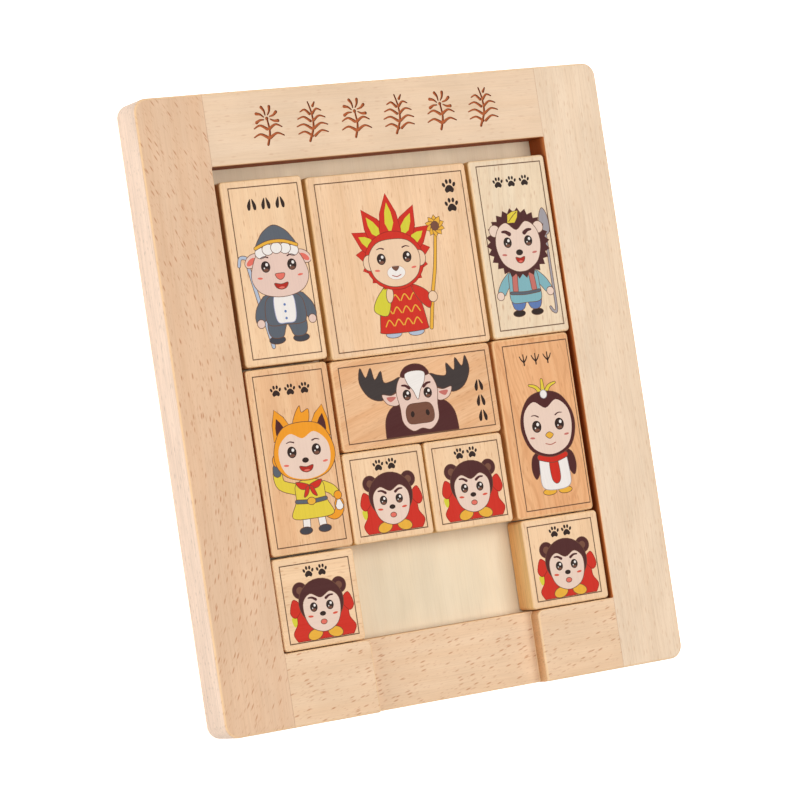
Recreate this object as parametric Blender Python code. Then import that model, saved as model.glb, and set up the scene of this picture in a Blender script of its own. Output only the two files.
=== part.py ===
"""Wooden sliding tile puzzle: a framed tray with ten loose blocks on a grid of 4 by 5 cells.

The tray lies flat. X runs to the right, Y runs towards the top rail and Z points up, out of the tray.
The origin is on the surface it rests on, under the middle of the tray. Every sub-part is one object.
"""

import math

import bmesh
import bpy
from mathutils import Matrix, Vector

MM = 0.001
SHARP_ANGLE = math.radians(40)

# Grid of cells that the blocks are made to.
CELL = 30.0 * MM
COLUMNS = 4
ROWS = 5
BLOCK_CLEARANCE = 0.6 * MM
SPARE_WIDTH = 3.5 * MM
SPARE_HEIGHT = 5.0 * MM

# Frame.
POCKET_WIDTH = COLUMNS * CELL + SPARE_WIDTH
POCKET_HEIGHT = ROWS * CELL + SPARE_HEIGHT
STILE_WIDTH = 24.0 * MM
RAIL_WIDTH = 23.5 * MM
FRAME_THICKNESS = 14.0 * MM
CORNER_RADIUS = 4.5 * MM
CORNER_STEPS = 6
SOFT_EDGE = 1.0 * MM
SOFT_EDGE_STEPS = 3

# Tray floor, a thin panel that sits in a groove around the pocket.
TOUCH_GAP = 0.3 * MM
PANEL_THICKNESS = 3.0 * MM
PANEL_TOP = 4.0 * MM
PANEL_BOTTOM = PANEL_TOP - PANEL_THICKNESS
GROOVE_DEPTH = 4.0 * MM
PANEL_REACH = GROOVE_DEPTH - TOUCH_GAP

# Exit recess, milled into the face of the bottom rail.
RECESS_WIDTH = 62.6 * MM
RECESS_CENTRE_X = 0.8 * MM
RECESS_DEPTH = 5.0 * MM
RECESS_MOUTH_RADIUS = 2.0 * MM
RECESS_MOUTH_STEPS = 4

# Dowels in the corner joints.
DOWEL_DIAMETER = 5.0 * MM
DOWEL_LENGTH = 20.0 * MM
DOWEL_SPACING = 12.0 * MM
DOWEL_HEIGHT = 9.2 * MM
DOWEL_SIDES = 24
DOWEL_CHAMFER = 0.5 * MM

# Blocks.
BLOCK_THICKNESS = 9.4 * MM
BLOCK_EDGE = 0.9 * MM
BLOCK_EDGE_STEPS = 2
BLOCK_REST_Z = PANEL_TOP + TOUCH_GAP

OUTER_WIDTH = POCKET_WIDTH + 2 * STILE_WIDTH
OUTER_HEIGHT = POCKET_HEIGHT + 2 * RAIL_WIDTH
POCKET_X = POCKET_WIDTH / 2
POCKET_Y = POCKET_HEIGHT / 2
CUT_PAST = 2.0 * MM

# Linear RGB colours of the pieces.
BEECH_PALE = (0.79, 0.60, 0.41)
BEECH_WARM = (0.76, 0.54, 0.34)
PANEL_CREAM = (0.77, 0.69, 0.52)
DOWEL_BEECH = (0.70, 0.50, 0.31)
BLOCK_STRAW = (0.84, 0.63, 0.38)
BLOCK_HONEY = (0.76, 0.50, 0.28)

# Name, column and row of its lower left cell, cells across and up, how far it has slid off its cell
# to the right and upwards in the spare room of the tray, in millimetres, and its colour.
BLOCKS = (
    ("tall_block_upper_left", 0, 3, 1, 2, 1.4, 0.3, BLOCK_STRAW),
    ("large_square_block", 1, 3, 2, 2, 2.2, -0.7, BLOCK_STRAW),
    ("tall_block_upper_right", 3, 3, 1, 2, 2.9, -0.5, BLOCK_STRAW),
    ("tall_block_lower_left", 0, 1, 1, 2, 0.6, 0.1, BLOCK_HONEY),
    ("wide_block", 1, 2, 2, 1, 1.1, -0.4, BLOCK_HONEY),
    ("tall_block_lower_right", 3, 1, 1, 2, 1.7, -0.2, BLOCK_HONEY),
    ("small_block_inner_left", 1, 1, 1, 1, 0.5, -0.1, BLOCK_STRAW),
    ("small_block_inner_right", 2, 1, 1, 1, 0.6, -0.1, BLOCK_STRAW),
    ("small_block_corner_left", 0, 0, 1, 1, 0.1, 0.0, BLOCK_STRAW),
    ("small_block_corner_right", 3, 0, 1, 1, 2.5, 0.0, BLOCK_STRAW),
)


def clear_scene():
    """Empty the scene of whatever it holds."""
    for old in list(bpy.data.objects):
        bpy.data.objects.remove(old, do_unlink=True)


def wood_material(name, colour, roughness=0.55):
    """A plain matt wood material."""
    material = bpy.data.materials.new(name)
    material.use_nodes = True
    shader = material.node_tree.nodes["Principled BSDF"]
    shader.inputs["Base Color"].default_value = (*colour, 1.0)
    shader.inputs["Roughness"].default_value = roughness
    shader.inputs["Metallic"].default_value = 0.0
    return material


def add_object(name, bm, colour=None):
    """Turn a bmesh into an object of that name, with a material of its own if a colour is given.

    Its round parts are shaded smooth.
    """
    bmesh.ops.recalc_face_normals(bm, faces=bm.faces)
    mesh = bpy.data.meshes.new(name)
    bm.to_mesh(mesh)
    bm.free()
    mesh.shade_smooth()
    mesh.set_sharp_from_angle(angle=SHARP_ANGLE)
    piece = bpy.data.objects.new(name, mesh)
    bpy.context.collection.objects.link(piece)
    if colour is not None:
        mesh.materials.append(wood_material(name + "_wood", colour))
    return piece


def prism(outline, z_low, z_high):
    """A bmesh of an outline in the XY plane, extruded from z_low to z_high."""
    bm = bmesh.new()
    corners = [bm.verts.new((x, y, z_low)) for x, y in outline]
    base = bm.faces.new(corners)
    grown = bmesh.ops.extrude_face_region(bm, geom=[base])["geom"]
    lifted = [item for item in grown if isinstance(item, bmesh.types.BMVert)]
    bmesh.ops.translate(bm, verts=lifted, vec=(0, 0, z_high - z_low))
    return bm


def box_outline(x_low, x_high, y_low, y_high):
    """The four corners of a rectangle."""
    return [(x_low, y_low), (x_high, y_low), (x_high, y_high), (x_low, y_high)]


def arc(centre_x, centre_y, radius, start, end, steps):
    """Points along an arc, with its angles in degrees."""
    angles = [math.radians(start + (end - start) * i / steps) for i in range(steps + 1)]
    return [(centre_x + radius * math.cos(a), centre_y + radius * math.sin(a)) for a in angles]


def soften_rims(bm, on_open_side):
    """Round the upper and lower rim edges whose middle is on an open side of the piece."""
    rims = []
    for edge in bm.edges:
        low, high = sorted(vertex.co.z for vertex in edge.verts)
        middle = (edge.verts[0].co + edge.verts[1].co) / 2
        if high - low < 0.01 * MM and on_open_side(middle):
            rims.append(edge)
    bmesh.ops.bevel(
        bm,
        geom=rims,
        offset=SOFT_EDGE,
        segments=SOFT_EDGE_STEPS,
        profile=0.5,
        affect="EDGES",
    )


def cutter(name, bm):
    """A hidden solid that a Boolean modifier takes away."""
    piece = add_object(name, bm)
    piece.hide_render = True
    piece.display_type = "WIRE"
    return piece


def cut_away(piece, tool):
    """Take a cutter away from a piece."""
    cut = piece.modifiers.new("cut_" + tool.name, "BOOLEAN")
    cut.operation = "DIFFERENCE"
    cut.solver = "EXACT"
    cut.object = tool


def rod_along_x(length, diameter, chamfer=0.0):
    """A round rod centred on the origin, lying along X."""
    bm = bmesh.new()
    turn = Matrix.Rotation(math.radians(90), 4, "Y")
    bmesh.ops.create_cone(
        bm,
        cap_ends=True,
        segments=DOWEL_SIDES,
        radius1=diameter / 2,
        radius2=diameter / 2,
        depth=length,
        matrix=turn,
    )
    if chamfer > 0:
        rims = [edge for edge in bm.edges if any(len(face.verts) > 4 for face in edge.link_faces)]
        bmesh.ops.bevel(bm, geom=rims, offset=chamfer, segments=1, affect="EDGES")
    return bm


def dowel_places():
    """Name and centre of each dowel: two across every corner joint."""
    places = []
    for rail, rail_y in (("top", POCKET_Y + RAIL_WIDTH / 2), ("bottom", -POCKET_Y - RAIL_WIDTH / 2)):
        for side, joint_x in (("left", -POCKET_X), ("right", POCKET_X)):
            for place, shift in (("upper", DOWEL_SPACING / 2), ("lower", -DOWEL_SPACING / 2)):
                centre = Vector((joint_x, rail_y + shift, DOWEL_HEIGHT))
                places.append((f"{rail}_{side}_{place}_dowel", centre))
    return places


def make_dowel_hole_cutter(name, centre):
    """The hole that a dowel sits in, half in the stile and half in the rail."""
    hole_diameter = DOWEL_DIAMETER + 2 * TOUCH_GAP
    tool = cutter(name, rod_along_x(DOWEL_LENGTH + 2 * TOUCH_GAP, hole_diameter))
    tool.location = centre
    return tool


def make_groove_cutter():
    """The groove around the pocket that takes the edge of the tray floor."""
    reach_x = POCKET_X + GROOVE_DEPTH
    reach_y = POCKET_Y + GROOVE_DEPTH
    outline = box_outline(-reach_x, reach_x, -reach_y, reach_y)
    return cutter("groove_cutter", prism(outline, PANEL_BOTTOM - TOUCH_GAP, PANEL_TOP + TOUCH_GAP))


def make_recess_cutter():
    """The exit recess, with a rounded mouth where it meets the pocket."""
    half = RECESS_WIDTH / 2
    radius = RECESS_MOUTH_RADIUS
    mouth_y = -POCKET_Y
    right = [(half, -OUTER_HEIGHT / 2 - CUT_PAST)]
    right += arc(half + radius, mouth_y - radius, radius, 180, 90, RECESS_MOUTH_STEPS)
    right.append((half + radius, mouth_y + CUT_PAST))
    left = [(-x, y) for x, y in reversed(right)]
    outline = [(x + RECESS_CENTRE_X, y) for x, y in right + left]
    floor_z = FRAME_THICKNESS - RECESS_DEPTH
    return cutter("recess_cutter", prism(outline, floor_z, FRAME_THICKNESS + CUT_PAST))


def make_stile(name, side, groove, holes):
    """A full-height side piece of the frame; side is -1 on the left and 1 on the right."""
    inner = POCKET_X
    outer = OUTER_WIDTH / 2
    end = OUTER_HEIGHT / 2
    radius = CORNER_RADIUS
    outline = [(inner, -end)]
    outline += arc(outer - radius, radius - end, radius, -90, 0, CORNER_STEPS)
    outline += arc(outer - radius, end - radius, radius, 0, 90, CORNER_STEPS)
    outline.append((inner, end))
    bm = prism([(side * x, y) for x, y in outline], 0, FRAME_THICKNESS)
    soften_rims(bm, lambda middle: abs(middle.x) > inner + 0.01 * MM)
    stile = add_object(name, bm, BEECH_PALE)
    cut_away(stile, groove)
    for hole in holes:
        if hole.location.x * side > 0:
            cut_away(stile, hole)
    return stile


def make_rail(name, side, groove, holes):
    """A cross piece between the stiles; side is 1 at the top and -1 at the bottom."""
    half_length = POCKET_X - TOUCH_GAP
    outer = OUTER_HEIGHT / 2
    outline = box_outline(-half_length, half_length, POCKET_Y, outer)
    bm = prism([(x, side * y) for x, y in outline], 0, FRAME_THICKNESS)
    soften_rims(bm, lambda middle: abs(middle.y) > outer - 0.01 * MM)
    rail = add_object(name, bm, BEECH_PALE if side > 0 else BEECH_WARM)
    cut_away(rail, groove)
    for hole in holes:
        if hole.location.y * side > 0:
            cut_away(rail, hole)
    return rail


def make_tray_floor():
    """The thin panel that the blocks slide on."""
    half_x = POCKET_X + PANEL_REACH
    half_y = POCKET_Y + PANEL_REACH
    outline = box_outline(-half_x, half_x, -half_y, half_y)
    return add_object("tray_floor", prism(outline, PANEL_BOTTOM, PANEL_TOP), PANEL_CREAM)


def make_dowel(name, centre):
    """A short dowel across a corner joint."""
    dowel = add_object(name, rod_along_x(DOWEL_LENGTH, DOWEL_DIAMETER, DOWEL_CHAMFER), DOWEL_BEECH)
    dowel.location = centre
    return dowel


def make_block(name, column, row, across, up, slid_right, slid_up, colour):
    """A loose block with rounded edges, standing on its cells with its origin under its middle."""
    width = across * CELL - BLOCK_CLEARANCE
    height = up * CELL - BLOCK_CLEARANCE
    outline = box_outline(-width / 2, width / 2, -height / 2, height / 2)
    block = add_object(name, prism(outline, 0, BLOCK_THICKNESS), colour)
    middle_x = (column + across / 2) * CELL + slid_right * MM
    middle_y = (row + up / 2) * CELL + slid_up * MM
    block.location = (middle_x - POCKET_X, middle_y - POCKET_Y, BLOCK_REST_Z)
    rounding = block.modifiers.new("rounded_edges", "BEVEL")
    rounding.width = BLOCK_EDGE
    rounding.segments = BLOCK_EDGE_STEPS
    rounding.limit_method = "ANGLE"
    rounding.angle_limit = SHARP_ANGLE
    return block


def build_tray():
    """The frame, its floor and the dowels that hold its corners."""
    groove = make_groove_cutter()
    dowels = dowel_places()
    holes = [make_dowel_hole_cutter("hole_for_" + name, centre) for name, centre in dowels]
    make_stile("left_stile", -1, groove, holes)
    make_stile("right_stile", 1, groove, holes)
    make_rail("top_rail", 1, groove, holes)
    bottom_rail = make_rail("bottom_rail", -1, groove, holes)
    cut_away(bottom_rail, make_recess_cutter())
    make_tray_floor()
    for name, centre in dowels:
        make_dowel(name, centre)


def build_blocks():
    """The ten loose blocks, where they lie in the tray."""
    for block in BLOCKS:
        make_block(*block)


clear_scene()
build_tray()
build_blocks()
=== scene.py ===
import math

import bmesh
import bpy
from mathutils import Matrix, Vector, geometry


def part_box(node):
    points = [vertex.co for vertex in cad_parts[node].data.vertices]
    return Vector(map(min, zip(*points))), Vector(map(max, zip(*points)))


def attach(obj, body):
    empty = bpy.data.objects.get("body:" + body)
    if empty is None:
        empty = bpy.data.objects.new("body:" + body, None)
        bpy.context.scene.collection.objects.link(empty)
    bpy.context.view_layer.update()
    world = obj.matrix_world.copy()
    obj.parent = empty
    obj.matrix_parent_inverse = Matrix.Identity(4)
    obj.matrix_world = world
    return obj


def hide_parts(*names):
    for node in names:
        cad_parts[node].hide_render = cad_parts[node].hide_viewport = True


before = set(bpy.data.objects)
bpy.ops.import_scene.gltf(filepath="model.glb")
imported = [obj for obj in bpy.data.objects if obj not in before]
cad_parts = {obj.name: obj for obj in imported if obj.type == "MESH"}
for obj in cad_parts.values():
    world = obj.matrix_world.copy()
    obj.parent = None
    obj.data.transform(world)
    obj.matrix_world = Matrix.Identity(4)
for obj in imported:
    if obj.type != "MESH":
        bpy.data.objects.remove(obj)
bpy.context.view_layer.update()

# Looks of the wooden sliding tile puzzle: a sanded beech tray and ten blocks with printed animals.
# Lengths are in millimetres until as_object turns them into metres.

MM = 0.001

# Camera: an aim point on the board, three turns in degrees, and the way back from the aim point.
CAMERA_AIM = (0.25, -0.5, 14.0)
CAMERA_PITCH = 1.92
CAMERA_YAW = -29.03
CAMERA_ROLL = -7.6
CAMERA_BACK = (-6.05, -3.52, 1103.7)
CAMERA_LENS = 153.5

# Softened edges of the frame.
FRAME_EDGE = 0.9
POCKET_EDGE = 0.5
EDGE_STEPS = 5
CORNER_RADIUS = 4.5
CORNER_STEPS = 10
GROOVE_DEPTH = 4.0
GROOVE_GAP = 0.3
JOINT_LINE = 0.06
TAPER = 1.0

# Exit recess in the bottom rail.
RECESS_WIDTH = 62.6
RECESS_CENTRE = 0.8
RECESS_DEPTH = 5.0
RECESS_EDGE = 0.9
RECESS_FILLET = 0.4
RECESS_OUTER_EDGE = 0.6
MOUTH_RADIUS = 2.0
MOUTH_DEPTHS = (1.0, 1.4, 2.0)
WALL_MARGIN = 5.0

# Softened edges of the blocks.
BLOCK_EDGE = 0.85
BLOCK_CORNER = 1.25
BLOCK_FOOT = 0.5

# Prints and carving.
BORDER_INSET = 2.35
BORDER_LINE = 0.36
FINE_LINE = 0.22
INK_COVER = 0.98
CARVING_DEPTH = 0.5
PRINT_MARGIN = 0.1

# Shading: how much of a rounded edge turns pale with a painted highlight, and the bend above which an edge
# stays sharp.
EDGE_HIGHLIGHT_COVER = 0.5
SMOOTH_ANGLE = math.radians(35)

# Studio: each light's place, size, power in watts and colour, then the surroundings and the ground.
KEY_LIGHT = ((200, 60, 1000), 1000, 10.6, (1.0, 0.995, 1.0))
SIDE_LIGHT = ((-900, 0, 330), 600, 3.9, (1.0, 0.99, 0.98))
WARM = (1.0, 0.82, 0.62, 1.0)
WARM_STRENGTH = 0.14
BRIGHT = (1.0, 1.0, 1.0, 1.0)
GROUND_GREY = (0.92, 0.92, 0.92, 1.0)
GROUND_GLOW = 0.7
GROUND_REACH = 6000
GROUND_DROP = 0.1


def srgb(red, green, blue):
    """The linear colour of an sRGB colour given in 0 to 255."""
    parts = [value / 255 for value in (red, green, blue)]
    return tuple(part / 12.92 if part <= 0.04045 else ((part + 0.055) / 1.055) ** 2.4 for part in parts)


BARE = None
LINE = srgb(104, 70, 54)
BORDER = srgb(104, 76, 58)
BLACK = srgb(42, 31, 31)
WHITE = srgb(238, 234, 230)
SKIN = srgb(233, 208, 192)
PINK = srgb(229, 200, 187)
TAN = srgb(236, 204, 172)
HAIR = srgb(76, 36, 40)
RED = srgb(205, 44, 34)
DARK_RED = srgb(150, 30, 26)
CORAL = srgb(226, 112, 98)
SALMON = srgb(196, 112, 104)
SLATE = srgb(88, 98, 110)
DARK_SLATE = srgb(62, 66, 76)
LAVENDER = srgb(170, 172, 205)
BLUE = srgb(92, 122, 178)
TEAL = srgb(126, 178, 188)
PALE_BLUE = srgb(176, 190, 210)
YELLOW = srgb(226, 204, 66)
GOLD = srgb(232, 176, 62)
ORANGE = srgb(238, 156, 40)
LIME = srgb(212, 206, 60)
GREY = srgb(160, 156, 162)
MUZZLE = srgb(116, 76, 62)
FAWN = srgb(214, 178, 150)
BLUSH = srgb(214, 84, 66)
LIPS = srgb(170, 84, 70)
MOUTH = srgb(176, 40, 34)
ANTLER = srgb(58, 54, 56)
BURNT = srgb(184, 98, 54)
# Walls of the carving: a darker burnt colour that is partly real scorching and partly painted shade.
BURNT_AND_SHADED_WALL = srgb(136, 62, 30)
# Painted highlight: the pale colour that rounded edges turn towards.
EDGE_HIGHLIGHT = srgb(250, 214, 164)


# ---- plane shapes


def placed(points, x=0.0, y=0.0, turn=0.0, size=1.0):
    """Points scaled, turned by an angle in degrees, and moved."""
    cos, sin = size * math.cos(math.radians(turn)), size * math.sin(math.radians(turn))
    return [(x + px * cos - py * sin, y + px * sin + py * cos) for px, py in points]


def oval(x, y, rx, ry, turn=0.0, steps=28):
    """Points around an oval."""
    angles = [2 * math.pi * i / steps for i in range(steps)]
    return placed([(rx * math.cos(a), ry * math.sin(a)) for a in angles], x, y, turn)


def flipped(points):
    """The mirror image across the Y axis."""
    return [(-x, y) for x, y in reversed(points)]


def curve_point(before, start, end, after, t):
    """A point on the smooth curve that runs from start to end."""
    result = []
    for p0, p1, p2, p3 in zip(before, start, end, after):
        bend = 2 * p0 - 5 * p1 + 4 * p2 - p3
        twist = 3 * (p1 - p2) + p3 - p0
        result.append(0.5 * (2 * p1 + (p2 - p0) * t + bend * t * t + twist * t ** 3))
    return tuple(result)


def blob(points, steps=5):
    """A smooth closed outline through a few points."""
    outline = []
    count = len(points)
    for i in range(count):
        corners = [points[(i + shift) % count] for shift in (-1, 0, 1, 2)]
        outline += [curve_point(*corners, step / steps) for step in range(steps)]
    return outline


def balanced(points):
    """A smooth closed outline that is the same on both sides; the points run down its right half."""
    left = [(-x, y) for x, y in reversed(points) if abs(x) > 0.01]
    return blob(list(points) + left)


def sweep(points, steps=5):
    """A smooth open curve through a few points."""
    ends = [points[0]] + list(points) + [points[-1]]
    curve = []
    for i in range(len(points) - 1):
        curve += [curve_point(*ends[i:i + 4], step / steps) for step in range(steps)]
    return curve + [points[-1]]


def stroke(points, width, end_width=None):
    """The outline of a brush stroke along a smooth curve, with round ends."""
    curve = sweep(points)
    last = len(curve) - 1
    end_width = width if end_width is None else end_width
    left, right = [], []
    for i, (x, y) in enumerate(curve):
        ahead, behind = curve[min(i + 1, last)], curve[max(i - 1, 0)]
        run = math.hypot(ahead[0] - behind[0], ahead[1] - behind[1])
        nx, ny = (behind[1] - ahead[1]) / run, (ahead[0] - behind[0]) / run
        half = (width + (end_width - width) * i / last) / 2
        left.append((x + nx * half, y + ny * half))
        right.append((x - nx * half, y - ny * half))
    return left + round_end(left[-1], right[-1]) + right[::-1] + round_end(right[0], left[0])


def round_end(start, end, steps=4):
    """Points of the half circle that turns clockwise from start to end, without its ends."""
    middle = ((start[0] + end[0]) / 2, (start[1] + end[1]) / 2)
    radius = math.dist(start, end) / 2
    first = math.atan2(start[1] - middle[1], start[0] - middle[0])
    angles = [first - math.pi * i / steps for i in range(1, steps)]
    return [(middle[0] + radius * math.cos(a), middle[1] + radius * math.sin(a)) for a in angles]


def area(points):
    """Twice the area inside a closed outline, positive when it runs anticlockwise."""
    ahead = points[1:] + points[:1]
    return sum(x0 * y1 - x1 * y0 for (x0, y0), (x1, y1) in zip(points, ahead))


def grown(points, amount):
    """A closed outline moved outwards by an amount."""
    side = amount if area(points) > 0 else -amount
    result = []
    for i, (x, y) in enumerate(points):
        ahead, behind = points[(i + 1) % len(points)], points[i - 1]
        run = math.dist(ahead, behind) or 1.0
        result.append((x + side * (ahead[1] - behind[1]) / run, y + side * (behind[0] - ahead[0]) / run))
    return result


def rectangle(width, height, radius=0.0, steps=EDGE_STEPS):
    """A rectangle centred on the origin, with round corners when it has a radius."""
    outline = []
    for corner, (sx, sy) in enumerate(((1, 1), (-1, 1), (-1, -1), (1, -1))):
        x, y = sx * (width / 2 - radius), sy * (height / 2 - radius)
        for i in range(steps + 1 if radius > 0 else 1):
            angle = math.radians(90 * corner + 90 * i / steps)
            outline.append((x + radius * math.cos(angle), y + radius * math.sin(angle)))
    return outline


class Picture:
    """Flat shapes in the order they are painted, each with its ink. Shapes are placed from an origin."""

    def __init__(self):
        self.shapes = []
        self.origin = (0.0, 0.0)

    def fill(self, points, ink):
        """A plain shape."""
        self.shapes.append((placed(points, *self.origin), ink))

    def lined(self, points, ink, line=LINE):
        """A shape with a fine line around it."""
        self.fill(grown(points, FINE_LINE / 2), line)
        self.fill(grown(points, -FINE_LINE / 2), ink)

    def whole(self, points, ink, line=LINE):
        """A lined shape that is the same on both sides; the points run down its right half."""
        self.lined(balanced(points), ink, line)

    def pair(self, points, ink, line=LINE):
        """A lined shape and its mirror image."""
        self.lined(points, ink, line)
        self.lined(flipped(points), ink, line)

    def dots(self, points, ink):
        """A plain shape and its mirror image."""
        self.fill(points, ink)
        self.fill(flipped(points), ink)

    def eyes(self, x, y, size=1.0):
        """Two round dark eyes with glints."""
        for side in (-1, 1):
            self.fill(oval(side * x, y, 1.65 * size, 1.85 * size), BLACK)
            self.fill(oval(side * x, y - 1.05 * size, 0.95 * size, 0.5 * size, 0, 12), MUZZLE)
            self.fill(oval(side * x + 0.45 * size, y + 0.65 * size, 0.48 * size, 0.52 * size), WHITE)
            self.fill(oval(side * x - 0.55 * size, y - 0.4 * size, 0.22 * size, 0.25 * size), WHITE)

    def brows(self, x, y, slope=0.0, width=0.5):
        """Two short brows; a positive slope lifts their outer ends."""
        reach = 1.3
        rise = slope * reach
        arch = [(x - reach, y - rise), (x, y + 0.35), (x + reach, y + rise)]
        self.dots(stroke(arch, width, 0.5 * width), HAIR)

    def smile(self, y, width=1.6):
        """A thin curved mouth."""
        self.fill(stroke([(-width, y + 0.5), (0, y), (width, y + 0.5)], 0.3), LIPS)

    def laugh(self, y, width=2.4):
        """An open laughing mouth."""
        self.whole([(0, y + 0.5), (width, y + 0.9), (width * 0.75, y - 0.6), (0, y - 1.2)], MOUTH)
        self.fill(balanced([(0, y - 0.3), (width * 0.45, y - 0.6), (0, y - 1.0)]), CORAL)

    def cheeks(self, x, y, ink=CORAL):
        """Two flat blushes."""
        self.dots(oval(x, y, 0.95, 0.35, 6), ink)


def petal(length, half_width):
    """A pointed leaf that grows upwards from the origin."""
    side = [(half_width, 0.35 * length), (0.72 * half_width, 0.7 * length)]
    return [(0, 0)] + side + [(0, length)] + flipped(side)


# ---- printed pictures


def paw_mark():
    """A paw print about 4 mm across."""
    pad = [(0, 0.4), (0.8, 0.1), (1.5, -0.9), (1, -1.8), (0, -1.5)]
    shapes = [balanced(pad)]
    for side in (-1, 1):
        for x, y, lean in ((0.62, 1.4, 6), (1.7, 0.5, 24)):
            shapes.append(oval(side * x, y, 0.46, 0.7, -side * lean))
    return shapes


def hoof_mark():
    """The print of a cloven hoof."""
    half = blob([(0.3, 2.1), (1.1, 1.2), (1.8, -0.4), (1.5, -1.9), (0.7, -1.7), (0.35, -0.2)])
    return [half, flipped(half)]


def bird_mark():
    """The print of a bird's foot."""
    side = stroke([(0, -1), (1, 0.1), (1.6, 1.3)], 0.6, 0.4)
    return [stroke([(0, -2), (0, 0), (0, 1.9)], 0.6, 0.45), side, flipped(side)]


def add_marks(art, mark, places, size=0.9):
    """The row or column of prints that titles a block."""
    for x, y in places:
        for shape in mark:
            art.fill(placed(shape, x, y, 0, size), BLACK)


def lamb(art):
    """A lamb in a slate cap and open slate jacket, with a shepherd's crook."""
    add_marks(art, hoof_mark(), ((-4.9, 21.6), (0.2, 21.6), (5.3, 21.6)))
    art.origin = (1.6, 0)
    crook = [(-14, 2.6), (-13.2, 5), (-11, 4.6), (-10.8, 2), (-9, -8), (-6, -24)]
    art.lined(stroke(crook, 1.1, 1.3), PALE_BLUE)
    art.pair(stroke([(5.6, -9.5), (8.2, -12.2), (9.2, -15)], 4.6, 3.6), SLATE)
    art.pair(oval(9.2, -16.4, 1.4, 1.4), PINK)
    art.pair(oval(4.3, -22, 2.9, 1.3), DARK_SLATE)
    leg = [(0.6, -16.4), (6.2, -15.6), (7, -19), (5.6, -21.2), (2.2, -21.2), (1, -19)]
    art.pair(blob(leg), SLATE)
    art.whole([(0, -7), (5.6, -8.4), (7.2, -12.5), (6.4, -17), (0, -17.4)], SLATE)
    art.whole([(0, -7.4), (3.2, -8), (3.8, -12.4), (3, -16.4), (0, -16.8)], WHITE, LAVENDER)
    for y in (-11, -13.2, -15.4):
        art.fill(oval(0, y, 0.45, 0.45, 0, 8), BLUE)
    art.pair(oval(9.2, 3.8, 3, 1.9, -34), PINK)
    art.dots(oval(9.6, 3.5, 1.9, 0.9, -34), CORAL)
    art.whole([(0, 8.2), (5.6, 7.2), (8.8, 3.2), (10.2, -2.4), (7.2, -6.9), (0, -8.5)], PINK)
    for x, y in ((-5.8, 6), (5.8, 6), (-3.1, 6.9), (3.1, 6.9), (0, 7.2)):
        art.lined(oval(x, y, 2, 1.8), WHITE)
    art.whole([(0, 14.6), (3.6, 13), (5.8, 10.6), (7.2, 7.9), (3.6, 9), (0, 9.4)], SLATE)
    art.lined(stroke([(-7.4, 7.6), (-3.6, 9), (0, 9.4), (3.6, 9), (7.4, 7.6)], 1.1), GOLD)
    art.eyes(4.7, 1.5)
    art.brows(4.8, 4.4)
    art.whole([(0, -0.9), (1.7, -1.1), (1.2, -2.4), (0, -3)], CORAL)
    art.laugh(-4.9)
    art.cheeks(7.2, -2)


def both_ways(tufts):
    """Tufts of hair, each a turn and a length, leaning to both sides; an upright one comes once."""
    result = []
    for turn, length in tufts:
        result += [(turn, length), (-turn, length)] if turn else [(turn, length)]
    return result


def lion(art):
    """A lion cub in a red knitted jumper, with a pointed red and yellow mane and a tall flower."""
    add_marks(art, paw_mark(), ((22.1, 22.6), (22.1, 16.4)), 1.15)
    art.origin = (-2.2, 0)
    art.lined(stroke([(16.6, 8), (14.6, -3), (12.2, -12), (10, -22.6)], 1.1, 1.3), GOLD)
    art.pair(oval(4.2, -23.4, 2.9, 1.2), PALE_BLUE)
    body = [(0, -6.8), (5.2, -7.6), (7.4, -13), (8.8, -21), (8.2, -22.8), (0, -23.2)]
    art.whole(body, RED)
    for y in (-11.6, -15.6, -19.6):
        for x in (-5.2, -1.75, 1.75, 5.2):
            zigzag = stroke([(x - 1.5, y - 1.1), (x, y + 0.9), (x + 1.5, y - 1.1)], 0.4)
            art.fill(zigzag, GOLD)
    art.lined(blob([(-4.6, -7.8), (-8.6, -11.4), (-10, -15.4), (-5.4, -17.2), (-3.4, -11.6)]), LIME)
    art.lined(oval(-3.6, -10.6, 1.3, 2.6, -8), TAN)
    art.lined(blob([(4.8, -8), (9.4, -9.8), (11.4, -12.6), (10.4, -16.2), (6.6, -12.8)]), RED)
    art.lined(oval(12.2, -12.6, 1.7, 1.8), TAN)
    for turn in range(0, 360, 36):
        art.lined(placed(petal(3.7, 1.1), 16.8, 10.2, turn), GOLD)
    art.lined(oval(16.8, 10.2, 1.5, 1.5), MUZZLE)
    mane = ((152, 11), (128, 11.6), (104, 12.4), (80, 14), (56, 17.2), (30, 19.4), (0, 21.4))
    for turn, length in both_ways(mane):
        art.lined(placed(petal(length, 4.2), 0, 1, turn), RED, DARK_RED)
    for turn, length in both_ways(((56, 6.4), (30, 8.4), (0, 10.4))):
        angle = math.radians(turn)
        root = (8 * -math.sin(angle), 1 + 8 * math.cos(angle))
        art.fill(placed(petal(length, 1.6), *root, turn), LIME)
    art.lined(oval(0, 0.4, 10.9, 9.6), RED, DARK_RED)
    art.pair(oval(9.4, 0.4, 2.2, 2.6), TAN)
    art.whole([(0, 7.4), (6, 6.4), (9.4, 2), (8.4, -4), (4.6, -7.2), (0, -8.2)], TAN)
    art.eyes(4.8, 1.2)
    art.brows(4.8, 4.4)
    art.lined(oval(0, -3.6, 3.4, 2.3), WHITE, FAWN)
    art.whole([(0, -1.6), (1.3, -1.8), (0, -3)], MUZZLE)
    art.smile(-4.9)
    art.cheeks(6.8, -2.4)


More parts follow.
